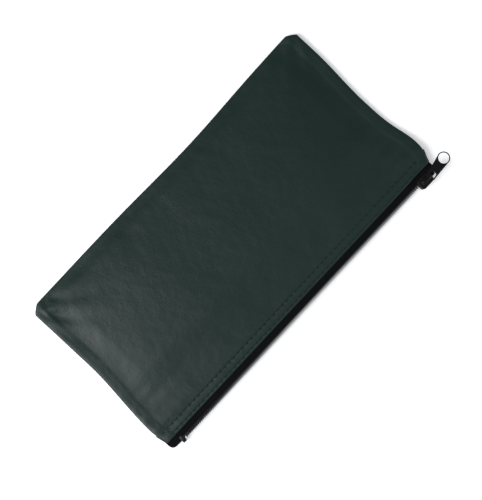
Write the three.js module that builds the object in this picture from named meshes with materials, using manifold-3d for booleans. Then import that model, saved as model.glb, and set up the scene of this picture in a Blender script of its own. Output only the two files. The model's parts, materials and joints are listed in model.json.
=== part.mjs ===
// A zip cash deposit bag: a flat vinyl pouch, folded along its bottom edge, with a coil zip
// sewn into its turned mouth hems. It lies flat, back panel down, with the zip open.
//
// Millimetres. +X runs along the mouth to the end where the slider is when the zip is open,
// +Y from the mouth to the fold, +Z up. The origin is the middle of the bag on its resting
// face.

import * as THREE from 'three';
import { mergeVertices } from 'three/addons/utils/BufferGeometryUtils.js';
import Module from 'manifold-3d';

const wasm = await Module();
wasm.setup();

// Overall size of the lying bag.
const BAG_LENGTH = 272;
const BAG_HEIGHT = 143.4;
const POUCH_THICKNESS = 9.3;

// Vinyl panels.
const VINYL = 0.9;
const HEM_DEPTH = 9.6;
const SEAM_ALLOWANCE = 8;
const LAYER_STEP = 0.4;
const PANEL_GAP = 0.3;
const FLARE = 3.6;
const FLARE_FROM_HEM = 15;
const FLARE_REACH = 38;
const MOUTH_CORNER = 3;
const FOLD_CORNER = 6.8;
const FOLD_CORNER_RUN = 5.4;
const SIDE_RISE = 24;
const FOLD_RISE = 30;
const MOUTH_RISE = 26;

// Zip: tapes, coils, and the cord inside each coil.
const CHAIN_STRIP = 7.2;
const TAPE = 0.5;
const TAPE_TUCK = 8.4;
const TAPE_CORNER = 4;
const TAPE_OVERHANG = 3.4;
const COIL_PITCH = 25.4 / 15;
const COIL_WIDTH = 3.1;
const COIL_HEIGHT = 2;
const HEAD_LENGTH = 1.2;
const HEAD_FILL = 0.55;
const HEAD_OVERHANG = 1;
const CORD_DIAMETER = 1;
const CORD_SIDES = 8;
const CORD_CLEARANCE = 0.1;

// Clearances of the zip's stack of layers.
const TABLE_CLEARANCE = 0.2;
const SEWN_CLEARANCE = 0.05;
const SLIDE_CLEARANCE = 0.35;
const END_CLEARANCE = 0.5;

// Threads.
const THREAD = 0.5;
const THREAD_RISE = 0.22;
const ROW_FROM_EDGE = 2.2;
const ROW_SPACING = 5.1;
const ROW_END = 6;
const SEAM_ROW_FROM_EDGE = 4;

// Slider.
const SLIDER_LENGTH = 11.6;
const SLIDER_WIDTH = 7.8;
const SLIDER_CORNER = 2.2;
const SLIDER_FROM_END = 12.8;
const WING = 1.2;
const FLANGE = 0.8;
const POST_LENGTH = 2.6;
const POST_WIDTH = 0.9;
const TAIL_RUN = 1.6;
const TAIL_DROP = 0.5;
const BRIDGE_LENGTH = 8.8;
const BRIDGE_WIDTH = 2.4;
const BRIDGE_STRAP = 1.1;
const BRIDGE_WINDOW = 1.6;
const BRIDGE_SETBACK = 0.2;

// Pull tab.
const PULL_THICKNESS = 1;
const PULL_RING_WALL = 1;
const PULL_EYE_WIDTH = 4.8;
const PULL_EYE_LENGTH = 4.4;
const PULL_HOLE = 7.8;
const PULL_HOLE_SIDES = 24;
const PULL_HOLE_WALL = 0.8;
const PULL_REACH = 17.1;
const PULL_PLAY = 0.3;
const PULL_SIDE_PLAY = 0.8;
const PULL_YAW = 8;
const PULL_STRIP_CLEARANCE = 0.4;

// Stops.
const STOP_LENGTH = 2.6;
const STOP_WALL = 0.9;
const STOP_REACH = 3.2;

// Places along Y.
const foldY = BAG_HEIGHT / 2;
const headY = -BAG_HEIGHT / 2;
const hemY = headY + CHAIN_STRIP;
const hemInnerY = hemY + HEM_DEPTH;
const tapeEdgeY = headY + HEAD_OVERHANG;
const tapeInnerY = hemY + TAPE_TUCK;
const coilRootY = headY + COIL_WIDTH;
const cordY = (coilRootY + headY + HEAD_LENGTH) / 2;

// Places along Z, from the table up.
const backCoilZ = TABLE_CLEARANCE;
const backTapeZ = backCoilZ + COIL_HEIGHT;
const lowerWingZ = backTapeZ + TAPE + SLIDE_CLEARANCE;
const frontTapeZ = lowerWingZ + WING + SLIDE_CLEARANCE;
const frontCoilZ = frontTapeZ + TAPE;
const upperWingZ = frontCoilZ + COIL_HEIGHT + SLIDE_CLEARANCE;
const sliderTopZ = upperWingZ + WING;
const backHemTopZ = backTapeZ - SEWN_CLEARANCE;
const frontHemZ = frontCoilZ + SEWN_CLEARANCE;
const frontHemTopZ = frontHemZ + 2 * VINYL;
const backSeamTopZ = 2 * VINYL;
const frontSeamTopZ = backSeamTopZ + PANEL_GAP + 2 * VINYL;
const frontFoldTopZ = VINYL + PANEL_GAP + VINYL;

// Places along X.
const sliderX = BAG_LENGTH / 2 - SLIDER_FROM_END;
const sliderEndX = sliderX + SLIDER_LENGTH / 2;
const coilEndX = sliderEndX + END_CLEARANCE - SEWN_CLEARANCE;
const bottomStopX = sliderEndX + END_CLEARANCE + STOP_LENGTH / 2;
const topStopX = -bottomStopX + STOP_LENGTH;
const coilStartX = topStopX + STOP_LENGTH / 2 + SEWN_CLEARANCE;

const material = {
  vinyl: new THREE.MeshStandardMaterial({ color: 0x24332f, roughness: 0.5, metalness: 0 }),
  tape: new THREE.MeshStandardMaterial({ color: 0x131415, roughness: 0.9, metalness: 0 }),
  coil: new THREE.MeshStandardMaterial({ color: 0x17181a, roughness: 0.45, metalness: 0 }),
  cord: new THREE.MeshStandardMaterial({ color: 0x1a1a1a, roughness: 0.9, metalness: 0 }),
  thread: new THREE.MeshStandardMaterial({ color: 0x26382f, roughness: 0.7, metalness: 0 }),
  blackThread: new THREE.MeshStandardMaterial({ color: 0x1b1c1e, roughness: 0.7, metalness: 0 }),
  enamel: new THREE.MeshStandardMaterial({ color: 0x0c0c0d, roughness: 0.35, metalness: 0.5 }),
};

function smoothStep(t) {
  const c = Math.min(1, Math.max(0, t));
  return c * c * (3 - 2 * c);
}

function mix(a, b, t) {
  return a + (b - a) * t;
}

function named(name, geometry, finish, x = 0, y = 0, z = 0) {
  const mesh = new THREE.Mesh(geometry, finish);
  mesh.name = name;
  mesh.position.set(x, y, z);
  return mesh;
}

function plate(shape, thickness, curveSegments = 6) {
  return new THREE.ExtrudeGeometry(shape, { depth: thickness, bevelEnabled: false, curveSegments });
}

function bar(length, width, height) {
  return new THREE.BoxGeometry(length, width, height);
}

function toSolid(geometry) {
  const bare = geometry.clone();
  bare.deleteAttribute('normal');
  bare.deleteAttribute('uv');
  const merged = mergeVertices(bare, 1e-4);
  return new wasm.Manifold(new wasm.Mesh({
    numProp: 3,
    vertProperties: new Float32Array(merged.attributes.position.array),
    triVerts: new Uint32Array(merged.index.array),
  }));
}

function toGeometry(solid) {
  const mesh = solid.getMesh();
  const geometry = new THREE.BufferGeometry();
  geometry.setAttribute('position', new THREE.BufferAttribute(mesh.vertProperties, 3));
  geometry.setIndex(new THREE.BufferAttribute(mesh.triVerts, 1));
  geometry.computeVertexNormals();
  return geometry;
}

// A closed sheet between two height functions, on lines that run across the bag. insets are
// distances in from the side edge, the same at both ends, so the lines follow the outline.
function sheetSolid(yLines, insets, reachAt, topZ, bottomZ) {
  const columns = 2 * insets.length;
  const rows = yLines.length;
  const positions = [];
  const triangles = [];
  const quad = (a, b, c, d) => triangles.push(a, b, c, a, c, d);
  for (const heightOf of [topZ, bottomZ]) {
    for (const y of yLines) {
      for (let i = 0; i < columns; i += 1) {
        const left = i < insets.length;
        const inset = insets[left ? i : columns - 1 - i];
        const reach = reachAt(y) - inset;
        positions.push(left ? -reach : reach, y, heightOf(inset, y));
      }
    }
  }
  const top = (i, j) => j * columns + i;
  const bottom = (i, j) => rows * columns + top(i, j);
  for (let j = 0; j + 1 < rows; j += 1) {
    for (let i = 0; i + 1 < columns; i += 1) {
      quad(top(i, j), top(i + 1, j), top(i + 1, j + 1), top(i, j + 1));
      quad(bottom(i, j), bottom(i, j + 1), bottom(i + 1, j + 1), bottom(i + 1, j));
    }
    quad(top(0, j), top(0, j + 1), bottom(0, j + 1), bottom(0, j));
    const last = columns - 1;
    quad(top(last, j), bottom(last, j), bottom(last, j + 1), top(last, j + 1));
  }
  for (let i = 0; i + 1 < columns; i += 1) {
    quad(top(i, 0), bottom(i, 0), bottom(i + 1, 0), top(i + 1, 0));
    quad(top(i, rows - 1), top(i + 1, rows - 1), bottom(i + 1, rows - 1), bottom(i, rows - 1));
  }
  const geometry = new THREE.BufferGeometry();
  geometry.setAttribute('position', new THREE.Float32BufferAttribute(positions, 3));
  geometry.setIndex(triangles);
  geometry.computeVertexNormals();
  return geometry;
}

// Half the bag's length at y: it flares a little beside the hem, where the zip stiffens it,
// and its corners are cut back at the mouth and at the fold.
function halfLength(y) {
  const fromHem = y - hemY;
  const flare = 1 - smoothStep(Math.abs(fromHem - FLARE_FROM_HEM) / FLARE_REACH);
  const mouth = 1 - smoothStep(fromHem / FLARE_FROM_HEM);
  const fold = smoothStep(1 - (foldY - y) / FOLD_CORNER_RUN);
  return BAG_LENGTH / 2 + FLARE * flare - MOUTH_CORNER * mouth - FOLD_CORNER * fold;
}

function evenly(from, to, steps) {
  return Array.from({ length: steps + 1 }, (_, i) => mix(from, to, i / steps));
}

// Lines at the hem's and seams' inner edges come in pairs, so that a layer ends in a step.
function panelLines() {
  return [
    ...evenly(hemY, hemInnerY, 2),
    hemInnerY + LAYER_STEP,
    ...evenly(hemInnerY + MOUTH_RISE / 4, hemInnerY + MOUTH_RISE, 3),
    ...evenly(foldY - FOLD_RISE, foldY - FOLD_CORNER_RUN, 4),
    ...evenly(foldY - FOLD_CORNER_RUN / 2, foldY, 1),
  ];
}

function backPanel() {
  const insets = [0, SEAM_ALLOWANCE, SEAM_ALLOWANCE + LAYER_STEP];
  const topZ = (inset, y) => {
    if (y <= hemInnerY) return backHemTopZ;
    return inset <= SEAM_ALLOWANCE ? backSeamTopZ : VINYL;
  };
  const geometry = sheetSolid(panelLines(), insets, halfLength, topZ, () => 0);
  return named('back_panel', geometry, material.vinyl);
}

// Top surface of the front panel: low along the seams and the fold, at the hem's height
// along the mouth, and full in the middle.
function frontTopZ(inset, y) {
  const mouth = 1 - smoothStep((y - hemInnerY) / MOUTH_RISE);
  const fold = 1 - smoothStep((foldY - y) / FOLD_RISE);
  const side = smoothStep((inset - SEAM_ALLOWANCE) / SIDE_RISE);
  const foldTop = mix(frontSeamTopZ, frontFoldTopZ, side);
  const edge = mix(mix(frontSeamTopZ, frontHemTopZ, mouth), foldTop, fold);
  return mix(edge, POUCH_THICKNESS, side * (1 - mouth) * (1 - fold));
}

function frontPanel() {
  const insets = [
    0,
    SEAM_ALLOWANCE,
    SEAM_ALLOWANCE + LAYER_STEP,
    ...evenly(SEAM_ALLOWANCE + SIDE_RISE / 4, SEAM_ALLOWANCE + SIDE_RISE, 3),
  ];
  const bottomZ = (inset, y) => {
    const layers = y <= hemInnerY || inset <= SEAM_ALLOWANCE ? 2 : 1;
    return frontTopZ(inset, y) - layers * VINYL;
  };
  const geometry = sheetSolid(panelLines(), insets, halfLength, frontTopZ, bottomZ);
  return named('front_panel', geometry, material.vinyl);
}

// A zip tape lies under the hem and passes the mouth's edge. Its end past the top stop
// sticks out of the side seam, with a rounded outer corner, and its other end is sewn in.
function tape(name, z) {
  const left = -halfLength(hemY) - TAPE_OVERHANG;
  const right = halfLength(hemY);
  const shape = new THREE.Shape();
  shape.moveTo(right, tapeInnerY);
  shape.lineTo(left, tapeInnerY);
  shape.lineTo(left, tapeEdgeY + TAPE_CORNER);
  shape.absarc(left + TAPE_CORNER, tapeEdgeY + TAPE_CORNER, TAPE_CORNER, Math.PI, 1.5 * Math.PI);
  shape.lineTo(right, tapeEdgeY);
  return named(name, plate(shape, TAPE), material.tape, 0, 0, z);
}

// One side of the chain: a row of heads on a solid root, with a bore for the cord.
function coil(name, z) {
  const teeth = Math.floor((coilEndX - coilStartX) / COIL_PITCH);
  const shape = new THREE.Shape();
  const notchY = headY + HEAD_LENGTH;
  shape.moveTo(coilStartX + teeth * COIL_PITCH, coilRootY);
  shape.lineTo(coilStartX, coilRootY);
  for (let i = 0; i < teeth; i += 1) {
    const x = coilStartX + i * COIL_PITCH;
    shape.lineTo(x, notchY);
    shape.lineTo(x + COIL_PITCH * (1 - HEAD_FILL), notchY);
    shape.lineTo(x + COIL_PITCH * (1 - HEAD_FILL / 2), headY);
  }
  shape.lineTo(coilStartX + teeth * COIL_PITCH, notchY);
  const bore = rod(CORD_DIAMETER + 2 * CORD_CLEARANCE, BAG_LENGTH);
  bore.translate(0, cordY, COIL_HEIGHT / 2);
  const solid = toSolid(plate(shape, COIL_HEIGHT)).subtract(toSolid(bore));
  return named(name, toGeometry(solid), material.coil, 0, 0, z);
}

function rod(diameter, length) {
  const geometry = new THREE.CylinderGeometry(diameter / 2, diameter / 2, length, CORD_SIDES);
  return geometry.rotateZ(Math.PI / 2);
}

const chainMiddleX = (coilStartX + coilEndX) / 2;
const chainLength = coilEndX - coilStartX;

function fillerCord(name, z) {
  const geometry = rod(CORD_DIAMETER, chainLength);
  return named(name, geometry, material.cord, chainMiddleX, cordY, z + COIL_HEIGHT / 2);
}

// Thread that sews a coil to its tape, over the coil's root on the side away from the tape.
function coilStitching(name, z) {
  const height = THREAD_RISE - SEWN_CLEARANCE;
  const geometry = bar(chainLength, THREAD, height);
  return named(name, geometry, material.blackThread, chainMiddleX, cordY, z + height / 2);
}

// One row of hem thread. Row 0 is nearest the mouth's edge.
function hemStitching(name, row, z) {
  const y = hemY + ROW_FROM_EDGE + row * ROW_SPACING;
  const geometry = bar(2 * (halfLength(hemY) - ROW_END), THREAD, THREAD_RISE);
  return named(name, geometry, material.thread, 0, y, z + SEWN_CLEARANCE + THREAD_RISE / 2);
}

// Thread of a side seam, between the turned-in edges of the two panels.
function seamStitching(name, side) {
  const height = PANEL_GAP - 2 * SEWN_CLEARANCE;
  const fromY = hemInnerY + SEAM_ALLOWANCE;
  const toY = foldY - SEAM_ALLOWANCE;
  const geometry = bar(THREAD, toY - fromY, height);
  const x = side * (BAG_LENGTH / 2 - SEAM_ROW_FROM_EDGE);
  return named(name, geometry, material.thread, x, (fromY + toY) / 2, backSeamTopZ + PANEL_GAP / 2);
}

// A staple-shaped stop, open towards the fold, closed round the edge of each tape in its
// slots. An outline in Y and Z, extruded along X.
function stop(name, x, slots, fromZ, toZ) {
  const spineY = headY - SLIDE_CLEARANCE;
  const outerY = spineY - STOP_WALL;
  const innerY = tapeEdgeY + STOP_REACH;
  const shape = new THREE.Shape();
  shape.moveTo(outerY, fromZ);
  shape.lineTo(innerY, fromZ);
  for (const slotZ of slots) {
    shape.lineTo(innerY, slotZ - SEWN_CLEARANCE);
    shape.lineTo(spineY, slotZ - SEWN_CLEARANCE);
    shape.lineTo(spineY, slotZ + TAPE + SEWN_CLEARANCE);
    shape.lineTo(innerY, slotZ + TAPE + SEWN_CLEARANCE);
  }
  shape.lineTo(innerY, toZ);
  shape.lineTo(outerY, toZ);
  const geometry = plate(shape, STOP_LENGTH);
  geometry.rotateX(Math.PI / 2);
  geometry.rotateZ(Math.PI / 2);
  return named(name, geometry, material.enamel, x - STOP_LENGTH / 2, 0, 0);
}

function roundedRectangle(length, width, radius) {
  const a = length / 2 - radius;
  const b = width / 2 - radius;
  const shape = new THREE.Shape();
  shape.absarc(a, b, radius, 0, Math.PI / 2);
  shape.absarc(-a, b, radius, Math.PI / 2, Math.PI);
  shape.absarc(-a, -b, radius, Math.PI, 1.5 * Math.PI);
  shape.absarc(a, -b, radius, 1.5 * Math.PI, 2 * Math.PI);
  return shape;
}

// The slider's channel holds the front coil against its flange on the fold side.
const sliderY = coilRootY + SLIDE_CLEARANCE + FLANGE - SLIDER_WIDTH / 2;
const bridgeTopZ = sliderTopZ + BRIDGE_WINDOW + BRIDGE_STRAP;
const bridgeX = (SLIDER_LENGTH - BRIDGE_LENGTH) / 2 - BRIDGE_SETBACK;

// An outline in X and height, extruded across the slider and centred on it.
function acrossSlider(shape, width) {
  const geometry = plate(shape, width);
  geometry.rotateX(Math.PI / 2);
  return geometry.translate(0, width / 2, 0);
}

// The wedge that is cut from the top of the slider's tail, where the pull tab slopes down.
function tailCut() {
  const shape = new THREE.Shape();
  shape.moveTo(SLIDER_LENGTH / 2 - TAIL_RUN, sliderTopZ);
  shape.lineTo(SLIDER_LENGTH / 2, sliderTopZ - TAIL_DROP);
  shape.lineTo(SLIDER_LENGTH, sliderTopZ - TAIL_DROP);
  shape.lineTo(SLIDER_LENGTH, sliderTopZ + TAIL_DROP);
  shape.lineTo(SLIDER_LENGTH / 2 - TAIL_RUN, sliderTopZ + TAIL_DROP);
  return acrossSlider(shape, 2 * SLIDER_WIDTH);
}

function sliderBridge() {
  const half = BRIDGE_LENGTH / 2;
  const shape = new THREE.Shape();
  shape.moveTo(-half, upperWingZ + WING / 2);
  shape.lineTo(-half + BRIDGE_STRAP, upperWingZ + WING / 2);
  shape.lineTo(-half + BRIDGE_STRAP, bridgeTopZ - BRIDGE_STRAP);
  shape.lineTo(half - BRIDGE_STRAP, bridgeTopZ - BRIDGE_STRAP);
  shape.lineTo(half - BRIDGE_STRAP, upperWingZ + WING / 2);
  shape.lineTo(half, upperWingZ + WING / 2);
  shape.lineTo(half, bridgeTopZ - BRIDGE_STRAP);
  shape.lineTo(half - BRIDGE_STRAP, bridgeTopZ);
  shape.lineTo(-half + BRIDGE_STRAP, bridgeTopZ);
  shape.lineTo(-half, bridgeTopZ - BRIDGE_STRAP);
  return acrossSlider(shape, BRIDGE_WIDTH).translate(bridgeX, 0, 0);
}

// One casting: two wings joined by the post at the throat, side flanges under the upper
// wing that leave a slot for the tape, and the bridge that holds the pull tab.
function sliderBody() {
  const outline = roundedRectangle(SLIDER_LENGTH, SLIDER_WIDTH, SLIDER_CORNER);
  const slotTopZ = frontTapeZ + TAPE + SLIDE_CLEARANCE;
  const shell = plate(outline, sliderTopZ - slotTopZ);
  shell.translate(0, 0, slotTopZ);
  const channelTop = upperWingZ - slotTopZ;
  const channel = bar(2 * SLIDER_LENGTH, SLIDER_WIDTH - 2 * FLANGE, 2 * channelTop);
  channel.translate(0, 0, slotTopZ);
  const lowerWing = plate(outline, WING);
  lowerWing.translate(0, 0, lowerWingZ);
  const postFrom = lowerWingZ + WING / 2;
  const postTo = upperWingZ + WING / 2;
  const post = bar(POST_LENGTH, POST_WIDTH, postTo - postFrom);
  const postY = headY - SLIDE_CLEARANCE - POST_WIDTH / 2 - sliderY;
  post.translate(-SLIDER_LENGTH / 2 + SLIDER_CORNER, postY, (postFrom + postTo) / 2);
  const solid = toSolid(shell)
    .subtract(toSolid(channel))
    .subtract(toSolid(tailCut()))
    .add(toSolid(lowerWing))
    .add(toSolid(post))
    .add(toSolid(sliderBridge()));
  return named('slider_body', toGeometry(solid), material.enamel, sliderX, sliderY, 0);
}

// A flat tab along +X from the middle of its lower bar: an eye round the bridge's leg, a
// tapered plate, and a finger hole.
function pullPlate() {
  const back = -PULL_THICKNESS / 2;
  const eyeMiddle = (PULL_THICKNESS + PULL_EYE_LENGTH) / 2;
  const eyeHalf = PULL_EYE_WIDTH / 2 + PULL_RING_WALL;
  const ringRadius = PULL_HOLE / 2 + PULL_HOLE_WALL;
  const shape = new THREE.Shape();
  shape.moveTo(back + PULL_RING_WALL, -eyeHalf);
  shape.lineTo(eyeMiddle, -eyeHalf);
  shape.absarc(PULL_REACH, 0, ringRadius, -Math.PI / 2, Math.PI / 2);
  shape.lineTo(eyeMiddle, eyeHalf);
  shape.lineTo(back + PULL_RING_WALL, eyeHalf);
  shape.lineTo(back, eyeHalf - PULL_RING_WALL);
  shape.lineTo(back, -eyeHalf + PULL_RING_WALL);
  const eyeShape = roundedRectangle(PULL_EYE_LENGTH, PULL_EYE_WIDTH, PULL_EYE_LENGTH / 4);
  const eye = plate(eyeShape, 2 * PULL_THICKNESS, 2);
  eye.translate((PULL_THICKNESS + PULL_EYE_LENGTH) / 2, 0, -PULL_THICKNESS / 2);
  const throughHeight = 4 * PULL_THICKNESS;
  const hole = new THREE.CylinderGeometry(PULL_HOLE / 2, PULL_HOLE / 2, throughHeight, PULL_HOLE_SIDES);
  hole.rotateX(Math.PI / 2);
  hole.translate(PULL_REACH, 0, 0);
  const solid = toSolid(plate(shape, PULL_THICKNESS, 10))
    .subtract(toSolid(eye))
    .subtract(toSolid(hole));
  return toGeometry(solid).translate(0, 0, -PULL_THICKNESS / 2);
}

// The tab's lower bar lies in the bridge's window against its far leg, and the tab rests on
// the slider's tail, so that its tip passes just above the hem and the coil.
function pullTab() {
  const legX = sliderX + bridgeX + BRIDGE_LENGTH / 2 - BRIDGE_STRAP;
  const pivotX = legX - PULL_PLAY - PULL_THICKNESS / 2;
  const pivotY = sliderY - PULL_SIDE_PLAY;
  const pivotZ = bridgeTopZ - BRIDGE_STRAP - PULL_PLAY - PULL_THICKNESS / 2;
  const tip = PULL_REACH + PULL_HOLE / 2 + PULL_HOLE_WALL;
  const stripTopZ = Math.max(frontHemTopZ, frontCoilZ + COIL_HEIGHT) + SEWN_CLEARANCE + THREAD_RISE;
  const drop = pivotZ - PULL_THICKNESS / 2 - stripTopZ - PULL_STRIP_CLEARANCE;
  const tab = named('pull_tab', pullPlate(), material.enamel);
  tab.rotation.y = Math.asin(drop / tip);
  const turned = new THREE.Group();
  turned.position.set(pivotX, pivotY, pivotZ);
  turned.rotation.z = THREE.MathUtils.degToRad(PULL_YAW);
  turned.add(tab);
  return turned;
}

function backHalf() {
  const group = new THREE.Group();
  const sewnZ = backTapeZ + TAPE;
  group.add(backPanel());
  group.add(tape('back_tape', backTapeZ));
  group.add(coil('back_coil', backCoilZ));
  group.add(fillerCord('back_coil_cord', backCoilZ));
  group.add(coilStitching('back_coil_stitching', backCoilZ - THREAD_RISE + SEWN_CLEARANCE));
  group.add(hemStitching('back_hem_stitching_outer', 0, sewnZ));
  group.add(hemStitching('back_hem_stitching_inner', 1, sewnZ));
  group.add(seamStitching('left_seam_stitching', -1));
  group.add(seamStitching('right_seam_stitching', 1));
  group.add(stop('back_top_stop', topStopX, [backTapeZ], backTapeZ - STOP_WALL, sewnZ + STOP_WALL));
  const stopTopZ = frontCoilZ + STOP_WALL;
  const stopSlots = [backTapeZ, frontTapeZ];
  group.add(stop('bottom_stop', bottomStopX, stopSlots, backTapeZ - STOP_WALL, stopTopZ));
  return group;
}

function frontHalf() {
  const group = new THREE.Group();
  const coilTopZ = frontCoilZ + COIL_HEIGHT;
  group.add(frontPanel());
  group.add(tape('front_tape', frontTapeZ));
  group.add(coil('front_coil', frontCoilZ));
  group.add(fillerCord('front_coil_cord', frontCoilZ));
  group.add(coilStitching('front_coil_stitching', coilTopZ + SEWN_CLEARANCE));
  group.add(hemStitching('front_hem_stitching_outer', 0, frontHemTopZ));
  group.add(hemStitching('front_hem_stitching_inner', 1, frontHemTopZ));
  const stopFromZ = frontTapeZ - STOP_WALL;
  const stopToZ = frontCoilZ + STOP_WALL;
  group.add(stop('front_top_stop', topStopX, [frontTapeZ], stopFromZ, stopToZ));
  return group;
}

const group = new THREE.Group();
group.add(backHalf(), frontHalf(), sliderBody(), pullTab());

export default group;
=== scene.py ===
"""The looks of a zip cash deposit bag: vinyl shell, stitched hems, coil zip, slider and pull tab.

The bag lies flat on its back panel with the zip open. Sizes are metres, in the frame's axes:
+X along the mouth towards the open slider, +Y from the mouth to the fold, +Z up.
"""
import json
import logging
import math
from dataclasses import dataclass, field
from enum import Enum

import bmesh
import bpy
import numpy as np
from mathutils import Matrix, Vector


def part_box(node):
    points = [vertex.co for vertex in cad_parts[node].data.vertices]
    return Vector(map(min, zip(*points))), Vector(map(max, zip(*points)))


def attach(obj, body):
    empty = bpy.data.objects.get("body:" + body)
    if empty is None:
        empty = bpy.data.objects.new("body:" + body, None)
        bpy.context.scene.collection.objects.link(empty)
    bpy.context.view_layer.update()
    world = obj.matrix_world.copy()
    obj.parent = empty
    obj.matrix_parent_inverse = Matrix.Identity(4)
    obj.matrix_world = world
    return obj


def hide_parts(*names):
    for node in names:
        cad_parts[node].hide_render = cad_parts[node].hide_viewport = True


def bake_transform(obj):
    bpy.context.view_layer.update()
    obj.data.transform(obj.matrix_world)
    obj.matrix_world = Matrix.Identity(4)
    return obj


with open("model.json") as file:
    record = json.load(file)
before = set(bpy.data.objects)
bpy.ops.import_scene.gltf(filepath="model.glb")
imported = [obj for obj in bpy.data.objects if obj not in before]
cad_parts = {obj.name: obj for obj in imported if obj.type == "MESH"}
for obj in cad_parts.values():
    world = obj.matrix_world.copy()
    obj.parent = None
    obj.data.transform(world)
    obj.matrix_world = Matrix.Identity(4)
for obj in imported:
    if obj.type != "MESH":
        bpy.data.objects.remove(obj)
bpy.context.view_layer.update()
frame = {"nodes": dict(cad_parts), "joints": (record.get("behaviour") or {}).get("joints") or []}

MM = 0.001
REST_ATTRIBUTE = "cloth"
SEED = 11
CUT_EDGE = math.radians(50.0)
CAST_EDGE = math.radians(40.0)
WELD = 0.0001 * MM
LAYER_GAP = 0.05 * MM
FILL_BEFORE_SETTLING = 0.6
AT_FOLD = -2.0
AT_HEM = -1.0
LOG = logging.getLogger("deposit_bag")


class Side(Enum):
    """The two ends of the bag, with the sign of X at each."""

    LEFT = -1
    RIGHT = 1

    @property
    def word(self) -> str:
        """Name of this end for piece names."""
        return self.name.lower()


class Half(Enum):
    """The two halves of the bag: the upper one is the half that lifts when the mouth opens, though
    its pieces here are not made to move.
    """

    FRONT = "front"
    BACK = "back"


# ---------------------------------------------------------------- numbers on arrays


def smooth(t: np.ndarray) -> np.ndarray:
    """Ease from 0 to 1: 3t squared less 2t cubed, with t held between 0 and 1.

    Args:
        t: Any array or number.

    Returns:
        The eased values, in the same shape.
    """
    c = np.clip(t, 0.0, 1.0)
    return c * c * (3.0 - 2.0 * c)


def bell(t: np.ndarray) -> np.ndarray:
    """A bump of height 1 at t = 0 that falls off as the exponential of minus t squared."""
    return np.exp(-np.square(t))


def mix(a: np.ndarray, b: np.ndarray, t: np.ndarray) -> np.ndarray:
    """Straight blend of a to b by t."""
    return a + (b - a) * t


def ripple(x: np.ndarray, y: np.ndarray, lengths: tuple[float, float], count: int,
           seed: int) -> np.ndarray:
    """Sum of cosine waves in random directions, scaled to lie mostly within -1 and 1.

    Args:
        x: Places along X.
        y: Places along Y.
        lengths: Shortest and longest wavelength.
        count: Number of waves.
        seed: Seed of the waves' directions, lengths and phases.

    Returns:
        The summed heights.
    """
    draw = np.random.default_rng(seed)
    total = np.zeros(np.broadcast(x, y).shape)
    for _ in range(count):
        angle = draw.uniform(0.0, math.pi)
        length = draw.uniform(*lengths)
        phase = draw.uniform(0.0, 2.0 * math.pi)
        along = x * math.cos(angle) + y * math.sin(angle)
        total = total + np.cos(2.0 * math.pi * along / length + phase)
    return total / math.sqrt(2.0 * count)


# ---------------------------------------------------------------- meshes


@dataclass
class Patch:
    """Points, faces and surface coordinates of one or more shells."""

    points: np.ndarray
    quads: np.ndarray
    uvs: np.ndarray


def grid_quads(rows: int, columns: int, flip: bool = False, wrap: bool = False) -> np.ndarray:
    """Faces of a grid of points stored row by row.

    Args:
        rows: Number of rows.
        columns: Number of columns.
        flip: Turn every face round.
        wrap: Join the last column to the first.

    Returns:
        Four corner numbers for each face.
    """
    r, c = np.meshgrid(np.arange(rows - 1), np.arange(columns if wrap else columns - 1),
                       indexing="ij")
    after = (c + 1) % columns
    corners = [r * columns + c, (r + 1) * columns + c, (r + 1) * columns + after,
               r * columns + after]
    quads = np.stack([k.ravel() for k in corners], axis=1)
    return quads[:, ::-1] if flip else quads


def grid_patch(points: np.ndarray, flip: bool = False) -> Patch:
    """An open sheet over a grid of points, with uv as its place along columns and rows.

    Args:
        points: Rows by columns by three.
        flip: Turn the faces round.

    Returns:
        The sheet.
    """
    rows, columns = points.shape[:2]
    v, u = np.meshgrid(np.arange(rows), np.arange(columns), indexing="ij")
    uvs = np.stack([u.ravel(), v.ravel()], axis=1).astype(float)
    return Patch(points.reshape(-1, 3), grid_quads(rows, columns, flip), uvs)


def tubes(paths: np.ndarray, radius: np.ndarray, sides: int, reference: tuple[float, float, float],
          widen: np.ndarray | None = None) -> Patch:
    """Closed tubes along paths: rings of points round each path, with a flat cap at each end.

    A ring point is the path's point, plus radius times the cosine of its angle along the
    sideways direction and the sine along the upward one. Sideways is the path's direction
    crossed with the reference, and upward is sideways crossed with the direction.

    Args:
        paths: Tubes by steps by three.
        radius: Radius at each step of each tube, or one number.
        sides: Points round each ring.
        reference: A direction that no path runs along.
        widen: Factor on the sideways radius at each step, or None.

    Returns:
        All the tubes, with u the length along each and v the turn round it.
    """
    count = len(paths)
    tangent = np.gradient(paths, axis=1)
    tangent /= np.linalg.norm(tangent, axis=2, keepdims=True)
    sideways = np.cross(tangent, np.array(reference, float))
    sideways /= np.linalg.norm(sideways, axis=2, keepdims=True)
    upward = np.cross(sideways, tangent)
    size = np.broadcast_to(np.asarray(radius, float), paths.shape[:2])
    wide = size if widen is None else size * widen
    turn = 2.0 * math.pi * np.arange(sides) / sides
    ring = (sideways[:, :, None] * (np.cos(turn)[:, None] * wide[:, :, None, None])
            + upward[:, :, None] * (np.sin(turn)[:, None] * size[:, :, None, None]))
    centre = np.broadcast_to(paths[:, :, None], ring.shape)
    rings = np.concatenate([centre[:, :1], centre + ring, centre[:, -1:]], axis=1)
    steps = rings.shape[1]
    one = grid_quads(steps, sides, wrap=True)
    shift = (np.arange(count) * steps * sides)[:, None, None]
    length = np.linalg.norm(np.diff(paths, axis=1, prepend=paths[:, :1]), axis=2).cumsum(axis=1)
    length = np.pad(length, ((0, 0), (1, 1)), mode="edge")
    u = np.repeat(length[:, :, None], sides, axis=2)
    v = np.broadcast_to(np.arange(sides) / sides, u.shape)
    uvs = np.stack([u.ravel(), v.ravel()], axis=1)
    return Patch(rings.reshape(-1, 3), (one[None] + shift).reshape(-1, 4), uvs)


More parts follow.
